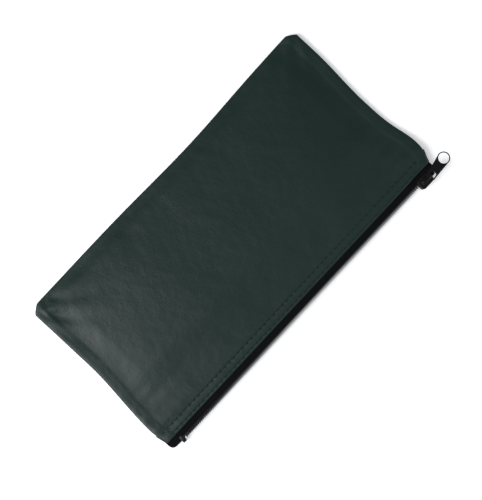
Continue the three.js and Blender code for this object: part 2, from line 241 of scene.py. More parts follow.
def close_caps(mesh: bpy.types.Mesh) -> None:
    """Joins the points that share a place, which closes each tube's ends to a point.

    Args:
        mesh: The mesh to close.
    """
    shape = bmesh.new()
    shape.from_mesh(mesh)
    bmesh.ops.remove_doubles(shape, verts=shape.verts[:], dist=WELD)
    shape.to_mesh(mesh)
    shape.free()


def make_piece(name: str, patch: Patch, materials: list[bpy.types.Material],
               capped: bool = False) -> bpy.types.Object:
    """Puts a patch into a mesh object with its rest places and uvs as attributes.

    Args:
        name: Name of the piece.
        patch: Its shape.
        materials: Its materials, the visible one first.
        capped: Close the tubes' ends.

    Returns:
        The linked object.
    """
    mesh = bpy.data.meshes.new(name)
    count = len(patch.quads)
    mesh.vertices.add(len(patch.points))
    mesh.vertices.foreach_set("co", patch.points.astype(np.float32).ravel())
    mesh.loops.add(4 * count)
    mesh.loops.foreach_set("vertex_index", patch.quads.astype(np.int32).ravel())
    mesh.polygons.add(count)
    mesh.polygons.foreach_set("loop_start", np.arange(0, 4 * count, 4, dtype=np.int32))
    mesh.update(calc_edges=True)
    mesh.validate()
    rest = mesh.attributes.new(REST_ATTRIBUTE, "FLOAT_VECTOR", "POINT")
    rest.data.foreach_set("vector", patch.points.astype(np.float32).ravel())
    layer = mesh.uv_layers.new(name="UVMap")
    layer.data.foreach_set("uv", patch.uvs[patch.quads.ravel()].astype(np.float32).ravel())
    mesh.polygons.foreach_set("use_smooth", np.full(count, True))
    if capped:
        close_caps(mesh)
    piece = bpy.data.objects.new(name, mesh)
    bpy.context.scene.collection.objects.link(piece)
    for material in materials:
        mesh.materials.append(material)
    return piece


def bake_modifiers(piece: bpy.types.Object, sharp: float) -> None:
    """Applies a piece's modifiers and marks its edges that turn more than an angle as sharp.

    Args:
        piece: The piece.
        sharp: The angle, in radians.
    """
    graph = bpy.context.evaluated_depsgraph_get()
    mesh = bpy.data.meshes.new_from_object(piece.evaluated_get(graph))
    piece.modifiers.clear()
    piece.data = mesh
    mesh.polygons.foreach_set("use_smooth", np.full(len(mesh.polygons), True))
    mesh.set_sharp_from_angle(angle=sharp)


def thicken(piece: bpy.types.Object, thickness: float, offset: float, inner_slot: int = 0) -> None:
    """Gives a sheet its thickness.

    Args:
        piece: The sheet.
        thickness: Distance between its faces.
        offset: -1 to grow inwards from the sheet, 0 to both sides.
        inner_slot: How many slots on from the outer face's material the inner face's is.
    """
    solid = piece.modifiers.new("thickness", "SOLIDIFY")
    solid.thickness = thickness
    solid.offset = offset
    solid.material_offset = inner_slot
    bake_modifiers(piece, CUT_EDGE)


# ---------------------------------------------------------------- shader graphs


class Value:
    """A number socket that adds its Math nodes through Python's operators."""

    def __init__(self, graph: "Graph", socket: bpy.types.NodeSocket) -> None:
        """Wraps a socket of a graph."""
        self.graph = graph
        self.socket = socket

    def _math(self, operation: str, first: "Value | float", second: "Value | float") -> "Value":
        """One Math node on two values."""
        return self.graph.node("ShaderNodeMath", {"operation": operation}, [first, second])

    def __add__(self, other: "Value | float") -> "Value":
        """Sum."""
        return self._math("ADD", self, other)

    def __radd__(self, other: float) -> "Value":
        """Sum with a number on the left."""
        return self._math("ADD", other, self)

    def __sub__(self, other: "Value | float") -> "Value":
        """Difference."""
        return self._math("SUBTRACT", self, other)

    def __rsub__(self, other: float) -> "Value":
        """Difference from a number on the left."""
        return self._math("SUBTRACT", other, self)

    def __mul__(self, other: "Value | float") -> "Value":
        """Product."""
        return self._math("MULTIPLY", self, other)

    def __rmul__(self, other: float) -> "Value":
        """Product with a number on the left."""
        return self._math("MULTIPLY", other, self)

    def sine(self) -> "Value":
        """Sine of this value, in radians."""
        return self._math("SINE", self, 0.0)

    def clamped(self) -> "Value":
        """This value held between 0 and 1."""
        return self.graph.node("ShaderNodeClamp", {}, [self])


Input = Value | float | tuple | bpy.types.NodeSocket


class Graph:
    """The node graph of one material."""

    def __init__(self, name: str) -> None:
        """Starts a material with its shader.

        Args:
            name: The material's name.
        """
        self.material = bpy.data.materials.new(name)
        self.material.use_nodes = True
        self.tree = self.material.node_tree
        self.shader = self.tree.nodes["Principled BSDF"]

    def node(self, kind: str, settings: dict[str, object], inputs: "dict | list",
             output: str | int = 0) -> Value:
        """Adds one node.

        Args:
            kind: The node's type.
            settings: Its settings, set first. "stops" holds a ramp's places and colours.
            inputs: Values or links, by socket name or in order.
            output: The socket to hand back.

        Returns:
            The wanted output.
        """
        node = self.tree.nodes.new(kind)
        for key, setting in settings.items():
            if key == "stops":
                elements = node.color_ramp.elements
                while len(elements) < len(setting):
                    elements.new(1.0)
                for element, (place, colour) in zip(elements, setting):
                    element.position = place
                    element.color = (*colour, 1.0)
            else:
                setattr(node, key, setting)
        pairs = inputs.items() if isinstance(inputs, dict) else enumerate(inputs)
        for key, given in pairs:
            self.feed(node.inputs[key], given)
        return Value(self, node.outputs[output])

    def feed(self, socket: bpy.types.NodeSocket, given: Input) -> None:
        """Links or sets one socket.

        Args:
            socket: The socket to feed.
            given: A value to link, or a constant to set.
        """
        if isinstance(given, Value):
            self.tree.links.new(given.socket, socket)
        else:
            socket.default_value = given

    def shade(self, **inputs: Input) -> bpy.types.Material:
        """Feeds the shader's sockets, their names written with underscores.

        Args:
            inputs: What each socket gets, a link or a constant.

        Returns:
            The finished material.
        """
        for key, given in inputs.items():
            self.feed(self.shader.inputs[key.replace("_", " ")], given)
        return self.material

    def rest(self) -> Value:
        """The surface's own places at rest."""
        return self.node("ShaderNodeAttribute", {"attribute_name": REST_ATTRIBUTE}, {}, "Vector")

    def object_place(self) -> Value:
        """The place in the object's own axes."""
        return self.node("ShaderNodeTexCoord", {}, {}, "Object")

    def uv(self) -> tuple[Value, Value]:
        """The two surface coordinates."""
        split = self.node("ShaderNodeSeparateXYZ", {}, [self.node("ShaderNodeUVMap", {}, {})])
        return split, Value(self, split.socket.node.outputs[1])

    def noise(self, place: Value, scale: float, detail: float = 3.0,
              roughness: float = 0.55) -> Value:
        """Soft noise between 0 and 1."""
        return self.node("ShaderNodeTexNoise", {}, {
            "Vector": place, "Scale": scale, "Detail": detail, "Roughness": roughness})

    def cells(self, place: Value, scale: float) -> Value:
        """Smoothed distance to scattered points: pebbled grain."""
        return self.node("ShaderNodeTexVoronoi", {"feature": "SMOOTH_F1"},
                         {"Vector": place, "Scale": scale})

    def blend(self, amount: Value, low: tuple, high: tuple) -> Value:
        """A colour between two, through a ramp."""
        return self.node("ShaderNodeValToRGB", {"stops": [(0.0, low), (1.0, high)]}, [amount])

    def bump(self, height: Value, distance: float, strength: float = 1.0,
             under: Value | None = None) -> Value:
        """A bumped normal, over another where one is given.

        Args:
            height: The surface's height, from 0 to 1.
            distance: The height that 1 stands for.
            strength: Share of the bump that is used.
            under: A normal that this bump lies on, or None.

        Returns:
            The normal.
        """
        inputs = {"Height": height, "Distance": distance, "Strength": strength}
        if under is not None:
            inputs["Normal"] = under
        return self.node("ShaderNodeBump", {}, inputs)


Colour = tuple[float, float, float]


@dataclass(frozen=True)
class VinylFinish:
    """Leather-grained vinyl: pebbled cells, a softer unevenness, and a satin sheen."""

    dark: Colour = (0.0042, 0.0150, 0.0127)
    light: Colour = (0.0068, 0.0203, 0.0172)
    roughness: tuple[float, float] = (0.36, 0.52)
    grain: float = 1500.0
    grain_depth: float = 0.00012

    def material(self, name: str) -> bpy.types.Material:
        """Builds the material.

        Args:
            name: The material's name.

        Returns:
            The material.
        """
        graph = Graph(name)
        place = graph.rest()
        cloudy = graph.noise(place, 22.0, 4.0)
        fine = graph.noise(place, 420.0, 3.0)
        colour = graph.blend((cloudy * 0.7 + fine * 0.3).clamped(), self.dark, self.light)
        pebbles = graph.cells(place, self.grain)
        creases = graph.noise(place, self.grain * 0.45, 4.0, 0.65)
        rough_low, rough_high = self.roughness
        rough = (cloudy * 0.5 + creases * 0.5) * (rough_high - rough_low) + rough_low
        soft = graph.bump(graph.noise(place, 150.0, 4.0), 0.0005, 0.6)
        grain = graph.bump(pebbles * 0.6 + creases * 0.5, self.grain_depth, 0.8, soft)
        return graph.shade(Base_Color=colour, Roughness=rough, Normal=grain,
                           Specular_IOR_Level=0.3)


@dataclass(frozen=True)
class BackingFinish:
    """The vinyl's woven cotton backing, seen inside the pouch."""

    dark: Colour = (0.018, 0.020, 0.019)
    light: Colour = (0.050, 0.054, 0.051)
    thread: float = 0.0007

    def material(self, name: str) -> bpy.types.Material:
        """Builds the material.

        Args:
            name: The material's name.

        Returns:
            The material.
        """
        graph = Graph(name)
        place = graph.rest()
        split = graph.node("ShaderNodeSeparateXYZ", {}, [place])
        along = Value(graph, split.socket.node.outputs[1])
        turns = 2.0 * math.pi / self.thread
        weave = (split * turns).sine() * (along * turns).sine() * 0.5 + 0.5
        fuzz = graph.noise(place, 900.0, 2.0)
        # Painted shade: the colour follows the weave's height, darker in the dips between the
        # threads and lighter on their crossings.
        colour = graph.blend((weave * 0.6 + fuzz * 0.4).clamped(), self.dark, self.light)
        return graph.shade(Base_Color=colour, Roughness=0.92, Specular_IOR_Level=0.25,
                           Normal=graph.bump(weave, 0.0001, 0.7))


@dataclass(frozen=True)
class TapeFinish:
    """Black woven zip tape: fine ribs across it, broken by a herringbone."""

    dark: Colour = (0.0020, 0.0022, 0.0025)
    light: Colour = (0.0075, 0.0078, 0.0085)
    rib: float = 0.00042

    def material(self, name: str) -> bpy.types.Material:
        """Builds the material.

        Args:
            name: The material's name.

        Returns:
            The material.
        """
        graph = Graph(name)
        place = graph.rest()
        split = graph.node("ShaderNodeSeparateXYZ", {}, [place])
        across = Value(graph, split.socket.node.outputs[1])
        turns = 2.0 * math.pi / self.rib
        zigzag = (across * (math.pi / 0.0012)).sine() * 0.9
        ribs = (split * turns + zigzag).sine() * 0.5 + 0.5
        ends = (across * (turns * 0.8)).sine() * 0.5 + 0.5
        weave = ribs * 0.65 + ends * 0.35
        fuzz = graph.noise(place, 1400.0, 2.0)
        # Painted shade: the colour follows the weave's height, darker in the hollows between the
        # ribs and lighter on the ribs.
        colour = graph.blend((weave * 0.7 + fuzz * 0.3).clamped(), self.dark, self.light)
        return graph.shade(Base_Color=colour, Roughness=0.95, Specular_IOR_Level=0.08,
                           Normal=graph.bump(weave, 0.00012, 0.8))


@dataclass(frozen=True)
class NylonFinish:
    """Smooth drawn nylon of the coil."""

    dark: Colour = (0.0020, 0.0020, 0.0023)
    light: Colour = (0.0055, 0.0055, 0.0060)

    def material(self, name: str) -> bpy.types.Material:
        """Builds the material.

        Args:
            name: The material's name.

        Returns:
            The material.
        """
        graph = Graph(name)
        place = graph.rest()
        streaks = graph.noise(place, 700.0, 2.0)
        colour = graph.blend(streaks, self.dark, self.light)
        return graph.shade(Base_Color=colour, Roughness=streaks * 0.2 + 0.3,
                           Specular_IOR_Level=0.25,
                           Normal=graph.bump(streaks, 0.00002, 0.4))


@dataclass(frozen=True)
class ThreadFinish:
    """Twisted thread or cord: plies wind round it at a steady lay."""

    dark: Colour
    light: Colour
    lay: float = 0.0009
    plies: int = 3

    def material(self, name: str) -> bpy.types.Material:
        """Builds the material.

        Args:
            name: The material's name.

        Returns:
            The material.
        """
        graph = Graph(name)
        along, around = graph.uv()
        angle = along * (2.0 * math.pi / self.lay) + around * (2.0 * math.pi * self.plies)
        ply = angle.sine() * 0.5 + 0.5
        fuzz = graph.noise(graph.rest(), 2200.0, 2.0)
        # Painted shade: the colour follows the plies' height, darker in the grooves between them
        # and lighter on their crowns.
        colour = graph.blend((ply * 0.7 + fuzz * 0.3).clamped(), self.dark, self.light)
        return graph.shade(Base_Color=colour, Roughness=0.62, Specular_IOR_Level=0.2,
                           Normal=graph.bump(ply, 0.00005, 0.9))


@dataclass(frozen=True)
class EnamelFinish:
    """Black enamel on cast zinc: slightly uneven, rubbed brighter in places."""

    paint: Colour = (0.0025, 0.0025, 0.0028)
    worn: Colour = (0.016, 0.016, 0.017)

    def material(self, name: str) -> bpy.types.Material:
        """Builds the material.

        Args:
            name: The material's name.

        Returns:
            The material.
        """
        graph = Graph(name)
        place = graph.object_place()
        wear = graph.noise(place, 260.0, 5.0, 0.7)
        rubbed = ((wear - 0.56) * 5.0).clamped()
        colour = graph.blend(rubbed, self.paint, self.worn)
        peel = graph.noise(place, 900.0, 2.0)
        return graph.shade(Base_Color=colour, Roughness=rubbed * 0.15 + 0.28,
                           Metallic=rubbed * 0.3, Coat_Weight=0.1, Specular_IOR_Level=0.3,
                           Normal=graph.bump(peel, 0.00003, 0.5))


@dataclass(frozen=True)
class FloorFinish:
    """Plain pale floor with a faint unevenness and a weak glow of its own."""

    dark: Colour = (0.93, 0.93, 0.93)
    light: Colour = (0.96, 0.96, 0.96)
    glow_colour: tuple[float, float, float, float] = (0.95, 0.97, 1.0, 1.0)
    glow: float = 0.3

    def material(self, name: str) -> bpy.types.Material:
        """Builds the material.

        Args:
            name: The material's name.

        Returns:
            The material.
        """
        graph = Graph(name)
        tone = graph.noise(graph.object_place(), 3.0, 2.0)
        return graph.shade(Base_Color=graph.blend(tone, self.dark, self.light), Roughness=0.9,
                           Specular_IOR_Level=0.1, Emission_Color=self.glow_colour,
                           Emission_Strength=self.glow)


@dataclass
class Finishes:
    """All the bag's materials."""

    vinyl: bpy.types.Material = field(init=False)
    backing: bpy.types.Material = field(init=False)
    tape: bpy.types.Material = field(init=False)
    nylon: bpy.types.Material = field(init=False)
    green_thread: bpy.types.Material = field(init=False)
    black_thread: bpy.types.Material = field(init=False)
    cord: bpy.types.Material = field(init=False)
    enamel: bpy.types.Material = field(init=False)

    def __post_init__(self) -> None:
        """Builds every material once."""
        # Painted shade: the green thread's dark colour is set below the vinyl's so that the hem
        # stitches read as the shade of the grooves they lie in.
        green = ThreadFinish((0.0035, 0.0105, 0.0088), (0.013, 0.028, 0.024))
        black = ThreadFinish((0.003, 0.003, 0.0033), (0.011, 0.011, 0.012))
        strand = ThreadFinish((0.006, 0.006, 0.006), (0.020, 0.020, 0.020), 0.0016)
        self.vinyl = VinylFinish().material("green_vinyl")
        self.backing = BackingFinish().material("cotton_backing")
        self.tape = TapeFinish().material("woven_tape")
        self.nylon = NylonFinish().material("black_nylon")
        self.green_thread = green.material("green_thread")
        self.black_thread = black.material("black_thread")
        self.cord = strand.material("spun_cord")
        self.enamel = EnamelFinish().material("black_enamel")


# ---------------------------------------------------------------- places


@dataclass(frozen=True)
class Layout:
    """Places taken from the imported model."""

    hem_y: float
    fold_y: float
    pouch_top: float
    hem_top: float
    back_hem_top: float
    row_y: tuple[float, float]

    @classmethod
    def from_frame(cls) -> "Layout":
        """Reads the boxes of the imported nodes.

        Returns:
            The places.
        """
        panel_low, panel_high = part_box("front_panel")
        rows = [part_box(f"front_hem_stitching_{row}") for row in ("outer", "inner")]
        return cls(
            hem_y=panel_low[1],
            fold_y=panel_high[1],
            pouch_top=panel_high[2],
            hem_top=rows[0][0][2] - LAYER_GAP,
            back_hem_top=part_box("back_tape")[0][2] - LAYER_GAP,
            row_y=tuple((low[1] + high[1]) / 2.0 for low, high in rows),
        )


def carry(piece: bpy.types.Object, half: Half, side: Side | None) -> None:
    """Attaches a piece of the back half, or one with no end given, to the bag's body.

    A piece of the front half is not attached to any body: its transform is only baked into its
    points.

    Args:
        piece: The piece.
        half: The half that it is sewn to.
        side: The end of the bag that it lies in, or None for a piece of the back half.
    """
    if half is Half.BACK or side is None:
        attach(piece, "bag")
        return
    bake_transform(piece)


# ---------------------------------------------------------------- the vinyl shell


@dataclass(frozen=True)
class Relief:
    """Heights on an even grid, read between its points as a cubic B-spline surface."""

    heights: np.ndarray
    low: tuple[float, float]
    step: float

    def at(self, x: np.ndarray, y: np.ndarray) -> np.ndarray:
        """Height at any place: each of the 16 grid points around it, weighted by the spline.

        Args:
            x: Places along X.
            y: Places along Y.

        Returns:
            The heights.
        """
        rows, columns = self.heights.shape
        place_x, place_y = np.broadcast_arrays((x - self.low[0]) / self.step,
                                               (y - self.low[1]) / self.step)
        first_x, weight_x = self.weights(place_x)
        first_y, weight_y = self.weights(place_y)
        total = np.zeros(place_x.shape)
        for i, across in enumerate(weight_y):
            for j, along in enumerate(weight_x):
                row = np.clip(first_y + i, 0, rows - 1)
                column = np.clip(first_x + j, 0, columns - 1)
                total += across * along * self.heights[row, column]
        return total

    @staticmethod
    def weights(place: np.ndarray) -> tuple[np.ndarray, tuple[np.ndarray, ...]]:
        """First grid number before each place, and the spline's four weights there.

        Args:
            place: Places in grid steps from the first point.

        Returns:
            The numbers, and the four weights of each place.
        """
        whole = np.floor(place).astype(int)
        t = place - whole
        four = ((1.0 - t) ** 3 / 6.0, (3.0 * t ** 3 - 6.0 * t ** 2 + 4.0) / 6.0,
                (-3.0 * t ** 3 + 3.0 * t ** 2 + 3.0 * t + 1.0) / 6.0, t ** 3 / 6.0)
        return whole - 1, four


@dataclass
class Settling:
    """Cloth simulation of the front half's slack vinyl, held at its seams, fold and hem."""

    step: float = 3.6 * MM
    slack: float = 0.0009
    pressure: float = 3.0
    stretching: float = 20.0
    shearing: float = 12.0
    bending: float = 15.0
    damping: float = 6.0
    mass: float = 0.02
    quality: int = 8
    frames: int = 26
    margin: float = 6.0 * MM
    headroom: float = 0.25 * MM
    least_room: float = 1.0 * MM

    def run(self, shell: "Shell") -> Relief:
        """Lets a plain grid of the front half settle, and reads how far each point rose.

        Args:
            shell: The shell, with its front half as it is sewn.

        Returns:
            The rise, scaled so that the fullest place reaches the pouch's height.
        """
        low_x = -shell.half_length - self.margin
        low_y = shell.place.hem_y
        columns = int(-2.0 * low_x / self.step) + 1
        rows = int((shell.place.fold_y - low_y) / self.step) + 2
        x, y = np.meshgrid(low_x + self.step * np.arange(columns),
                           low_y + self.step * np.arange(rows), indexing="xy")
        start = shell.sewn_top(x, y)
        patch = grid_patch(np.stack([x, y, start], axis=2), flip=True)
        mesh = bpy.data.meshes.new("settling")
        mesh.from_pydata(patch.points.tolist(), [], patch.quads.tolist())
        sheet = bpy.data.objects.new("settling", mesh)
        bpy.context.scene.collection.objects.link(sheet)
        held = sheet.vertex_groups.new(name="held")
        held.add(np.flatnonzero(shell.held(x, y).ravel()).tolist(), 1.0, "REPLACE")
        self.add_cloth(sheet, held.name)
        for frame_number in range(1, self.frames + 1):
            bpy.context.scene.frame_set(frame_number)
        graph = bpy.context.evaluated_depsgraph_get()
        settled = sheet.evaluated_get(graph).data
        places = np.empty(3 * len(settled.vertices), dtype=np.float32)
        settled.vertices.foreach_get("co", places)
        rise = self.evened(places.reshape(rows, columns, 3)[:, :, 2] - start)
        bpy.data.objects.remove(sheet)
        bpy.context.scene.frame_set(1)
        room = shell.place.pouch_top - self.headroom - start
        most = float(np.max(rise / np.maximum(room, self.least_room)))
        LOG.info("front half settled, largest rise %.2f mm", float(rise.max()) / MM)
        return Relief(rise / max(most, 1.0), (low_x, low_y), self.step)

    def add_cloth(self, sheet: bpy.types.Object, held: str) -> None:
        """Adds the cloth to the sheet: slack, blown up from inside, with no weight.

        Args:
            sheet: The sheet.
            held: Name of the group of its points that stay in place.
        """
        cloth = sheet.modifiers.new("cloth", "CLOTH")
        cloth.settings.quality = self.quality
        cloth.settings.mass = self.mass
        cloth.settings.tension_stiffness = self.stretching
        cloth.settings.compression_stiffness = self.stretching
        cloth.settings.shear_stiffness = self.shearing
        cloth.settings.bending_stiffness = self.bending
        cloth.settings.air_damping = self.damping
        cloth.settings.vertex_group_mass = held
        cloth.settings.shrink_min = -self.slack
        cloth.settings.use_pressure = True
        cloth.settings.uniform_pressure_force = self.pressure
        cloth.settings.effector_weights.gravity = 0.0
        cloth.collision_settings.use_collision = False
        cloth.point_cache.frame_end = self.frames

    @staticmethod
    def evened(rise: np.ndarray) -> np.ndarray:
        """Each height averaged with its neighbours, 1 2 1 along each axis, twice over.

        Args:
            rise: The heights.

        Returns:
            The evened heights.
        """
        for axis in (0, 1, 0, 1):
            rise = (np.roll(rise, 1, axis) + 2.0 * rise + np.roll(rise, -1, axis)) / 4.0
        return rise


@dataclass(frozen=True)
class CreaseHeights:
    """How high or deep each kind of crease in the front half is."""

    allowance: float = 0.22 * MM
    left_fan: float = 0.42 * MM
    right_fan: float = 0.26 * MM
    tug: float = 0.3 * MM
    pinch: float = 0.6 * MM
    tuck: float = 0.22 * MM
    broad: float = 0.22 * MM
    small: float = 0.05 * MM
    hem_wave: float = 0.12 * MM


@dataclass
class Shell:
    """The folded vinyl sheet: front half, back half, turned hems and seams."""

    place: Layout
    half_length: float = 135.7 * MM
    corner_run: float = 5.2 * MM
    corner_cut: float = 6.6 * MM
    thickness: float = 0.85 * MM
    seam_turn: float = 1.1 * MM
    seam_allowance: float = 7.5 * MM
    hem_turn: float = 0.95 * MM
    hem_depth: float = 9.6 * MM
    hem_layers: float = 1.84 * MM
    hem_zone: float = 13.0 * MM
    fold_turn: float = 1.25 * MM
    side_height: float = 3.9 * MM
    fold_height: float = 2.7 * MM
    stitch_pitch: float = 4.6 * MM
    columns: int = 120
    allowance_step: float = 1.3 * MM
    right_flare: float = 4.0 * MM
    right_spread: float = 2.3 * MM
    right_clip: float = 2.6 * MM
    left_flare: float = 4.4 * MM
    left_clip: float = 2.4 * MM
    fold_overhang: float = 0.1 * MM
    fold_dip: float = 2.3 * MM
    heights: CreaseHeights = CreaseHeights()
    start_fill: float = 1.0
    relief: Relief | None = None

    def outline(self, y: np.ndarray, side: Side) -> np.ndarray:
        """Half the bag's length at y: a straight end, a flare near the mouth, round corners.

        Args:
            y: Places along Y.
            side: The end of the bag.

        Returns:
            The distance from the middle to the end's edge.
        """
        near_hem = y - self.place.hem_y
        if side is Side.RIGHT:
            flare = self.right_flare * bell((near_hem - 17.5 * MM) / (19.0 * MM))
            flare = flare + self.right_spread * smooth(y / (48.0 * MM))
            clip = self.right_clip * smooth(1.0 - near_hem / (12.0 * MM))
        else:
            flare = self.left_flare * smooth((14.0 * MM - y) / (62.0 * MM))
            clip = self.left_clip * np.clip(1.0 - near_hem / (13.5 * MM), 0.0, 1.0) ** 1.2
        into = np.clip(1.0 - (self.place.fold_y - y) / self.corner_run, 0.0, 1.0)
        corner = self.corner_cut * into ** 1.25
        return self.half_length + flare - clip - corner

    def fold_line(self, x: np.ndarray) -> np.ndarray:
        """Y of the bottom fold: it is drawn in a little near the middle."""
        dip = self.fold_dip * bell((x - 28.0 * MM) / (58.0 * MM))
        return self.place.fold_y + self.fold_overhang - dip

    def seams(self, x: np.ndarray, y: np.ndarray, side: Side) -> np.ndarray:
        """Distance in from the end's edge."""
        return self.outline(y, side) - np.abs(x)

    def top(self, x: np.ndarray, y: np.ndarray, side: Side) -> np.ndarray:
        """Height of the front half's outer face.

        It runs level with the seams, the hem and the fold at its edges and swells to the
        pouch's full height between them. Creases, the seam allowance's ridge, wrinkles at the
        corners and the stitches' dimples are added to it.

        Args:
            x: Places along X.
            y: Places along Y.
            side: The end of the bag.

        Returns:
            The heights.
        """
        inset = self.seams(x, y, side)
        from_fold = self.fold_line(x) - y
        from_hem = y - self.place.hem_y
        height = self.sewn(inset, from_fold, from_hem)
        if self.relief is not None:
            height = height + self.relief.at(x, y)
        height = height + self.creases(x, y, inset, from_fold, from_hem, side)
        return height + self.dimples(x, y, inset)

    def sewn(self, inset: np.ndarray, from_fold: np.ndarray, from_hem: np.ndarray) -> np.ndarray:
        """Height of the front half before it settles: level at its edges, swollen between.

        Args:
            inset: Distance in from the end's edge.
            from_fold: Distance in from the fold.
            from_hem: Distance in from the hem's edge.

        Returns:
            The heights.
        """
        mouth = smooth((from_hem - 4.0 * MM) / (34.0 * MM))
        edge = mix(self.place.hem_top, self.side_height, mouth)
        fold_top = mix(self.side_height, self.fold_height, smooth(inset / (22.0 * MM)))
        edge = mix(fold_top, edge, smooth(from_fold / (14.0 * MM)))
        swell = (self.rise((inset - 6.5 * MM) / (62.0 * MM)) * self.rise(from_fold / (52.0 * MM))
                 * smooth((from_hem - 10.5 * MM) / (38.0 * MM)))
        return mix(edge, self.place.pouch_top - 0.2 * MM, self.start_fill * swell)

    def sewn_top(self, x: np.ndarray, y: np.ndarray) -> np.ndarray:
        """The sewn height at both ends of the bag."""
        inset = np.where(x < 0.0, self.seams(x, y, Side.LEFT), self.seams(x, y, Side.RIGHT))
        return self.sewn(inset, self.fold_line(x) - y, y - self.place.hem_y)

    def held(self, x: np.ndarray, y: np.ndarray) -> np.ndarray:
        """Where the front half is held: its seam allowances, its fold and its hem.

        Args:
            x: Places along X.
            y: Places along Y.

        Returns:
            True at each held place.
        """
        inset = np.where(x < 0.0, self.seams(x, y, Side.LEFT), self.seams(x, y, Side.RIGHT))
        return ((inset < self.seam_allowance) | (self.fold_line(x) - y < 3.5 * MM)
                | (y - self.place.hem_y < self.hem_depth))

    @staticmethod
    def rise(t: np.ndarray) -> np.ndarray:
        """How the pouch swells in from an edge: steeply at first and then ever more gently."""
        c = np.clip(t, 0.0, 1.0)
        return (1.0 - (1.0 - c) ** 2.2) * smooth(c / 0.3)

    def creases(self, x: np.ndarray, y: np.ndarray, inset: np.ndarray, from_fold: np.ndarray,
                from_hem: np.ndarray, side: Side) -> np.ndarray:
        """Ridges along the fold and the seams, corner wrinkles, and a gentle unevenness.

        Args:
            x: Places along X.
            y: Places along Y.
            inset: Distance in from the end's edge.
            from_fold: Distance in from the fold.
            from_hem: Distance in from the hem's edge.
            side: The end of the bag.

        Returns:
            The heights to add.
        """
        near_left = bell((x + self.half_length - 10.0 * MM) / (46.0 * MM))
        fold_ridge = (0.22 + 0.5 * near_left) * MM * bell((from_fold - 10.5 * MM) / (4.6 * MM))
        allowance = (self.heights.allowance * smooth((inset - 0.8 * MM) / (1.6 * MM))
                     * (1.0 - smooth((inset - 7.0 * MM) / (1.8 * MM))))
        calm = smooth(from_hem / (14.0 * MM)) * smooth(inset / (9.0 * MM))
        broad = self.heights.broad * ripple(x, y, (45.0 * MM, 110.0 * MM), 7, SEED)
        small = self.heights.small * ripple(x, y, (9.0 * MM, 24.0 * MM), 14, SEED + 1)
        wave = self.heights.hem_wave * ripple(x, 0.0 * y, (26.0 * MM, 60.0 * MM), 5, SEED + 2)
        return (fold_ridge + allowance + self.fan(x, y, inset, side) + self.tug(x, y, inset, side)
                + self.crinkles(x, y) + (broad + small) * calm
                + wave * bell(from_hem / (18.0 * MM)) * smooth(inset / (12.0 * MM)))

    def fan(self, x: np.ndarray, y: np.ndarray, inset: np.ndarray, side: Side) -> np.ndarray:
        """Wrinkles that fan out from a fold corner: a cosine across its diagonal.

        Args:
            x: Places along X.
            y: Places along Y.
            inset: Distance in from the end's edge.
            side: The end of the bag.

        Returns:
            The heights to add.
        """
        corner_x = side.value * (self.half_length - 7.0 * MM)
        corner_y = self.place.fold_y - 7.0 * MM
        reach = np.hypot(x - corner_x, y - corner_y)
        across = (side.value * (x - corner_x) - (y - corner_y)) / math.sqrt(2.0)
        strength = self.heights.left_fan if side is Side.LEFT else self.heights.right_fan
        fan = strength * np.cos(2.0 * math.pi * across / (9.0 * MM + 0.25 * reach) + 0.8)
        return fan * bell(reach / (34.0 * MM)) * smooth(inset / (6.0 * MM))

    def tug(self, x: np.ndarray, y: np.ndarray, inset: np.ndarray, side: Side) -> np.ndarray:
        """Wrinkles that the mouth's corner pulls in: a cosine along Y, dying out around it.

        Args:
            x: Places along X.
            y: Places along Y.
            inset: Distance in from the end's edge.
            side: The end of the bag.

        Returns:
            The heights to add.
        """
        mouth_x = side.value * (self.half_length - 4.0 * MM)
        mouth_y = self.place.hem_y + 14.0 * MM
        far = np.hypot(x - mouth_x, y - mouth_y)
        tug = self.heights.tug * np.cos(2.0 * math.pi * (y - mouth_y) / (11.0 * MM) + 0.4)
        return tug * bell(far / (26.0 * MM)) * smooth(inset / (5.0 * MM))

    def crinkles(self, x: np.ndarray, y: np.ndarray) -> np.ndarray:
        """Small sharp creases at the left end: two ridges at the fold, two pits by the mouth.

        Args:
            x: Places along X.
            y: Places along Y.

        Returns:
            The heights to add.
        """
        pinch = self.heights.pinch * bell((x + 129.0 * MM) / (1.5 * MM))
        pinch = pinch * bell((y - 60.5 * MM) / (4.2 * MM))
        nip = bell((x + y + 56.0 * MM) / (2.0 * MM)) * bell((x - y + 188.0 * MM) / (9.0 * MM))
        tuck = bell((x + 133.0 * MM) / (1.1 * MM)) * bell((y + 45.5 * MM) / (1.8 * MM))
        tuck = tuck + bell((x + 134.6 * MM) / (1.0 * MM)) * bell((y + 50.5 * MM) / (1.5 * MM))
        return pinch + self.heights.pinch * nip - self.heights.tuck * tuck

    def dimples(self, x: np.ndarray, y: np.ndarray, inset: np.ndarray) -> np.ndarray:
        """Grooves under the stitch rows, deepest at the needle holes.

        Args:
            x: Places along X.
            y: Places along Y.
            inset: Distance in from the end's edge.

        Returns:
            The heights to add, none above 0.
        """
        total = np.zeros(np.broadcast(x, y).shape)
        for row_y in self.place.row_y:
            hole = 0.5 + 0.5 * np.cos(2.0 * math.pi * x / self.stitch_pitch)
            total = total - bell((y - row_y) / (0.8 * MM)) * (0.13 + 0.3 * hole ** 4) * MM
        return total * smooth((inset - 5.0 * MM) / (1.0 * MM))

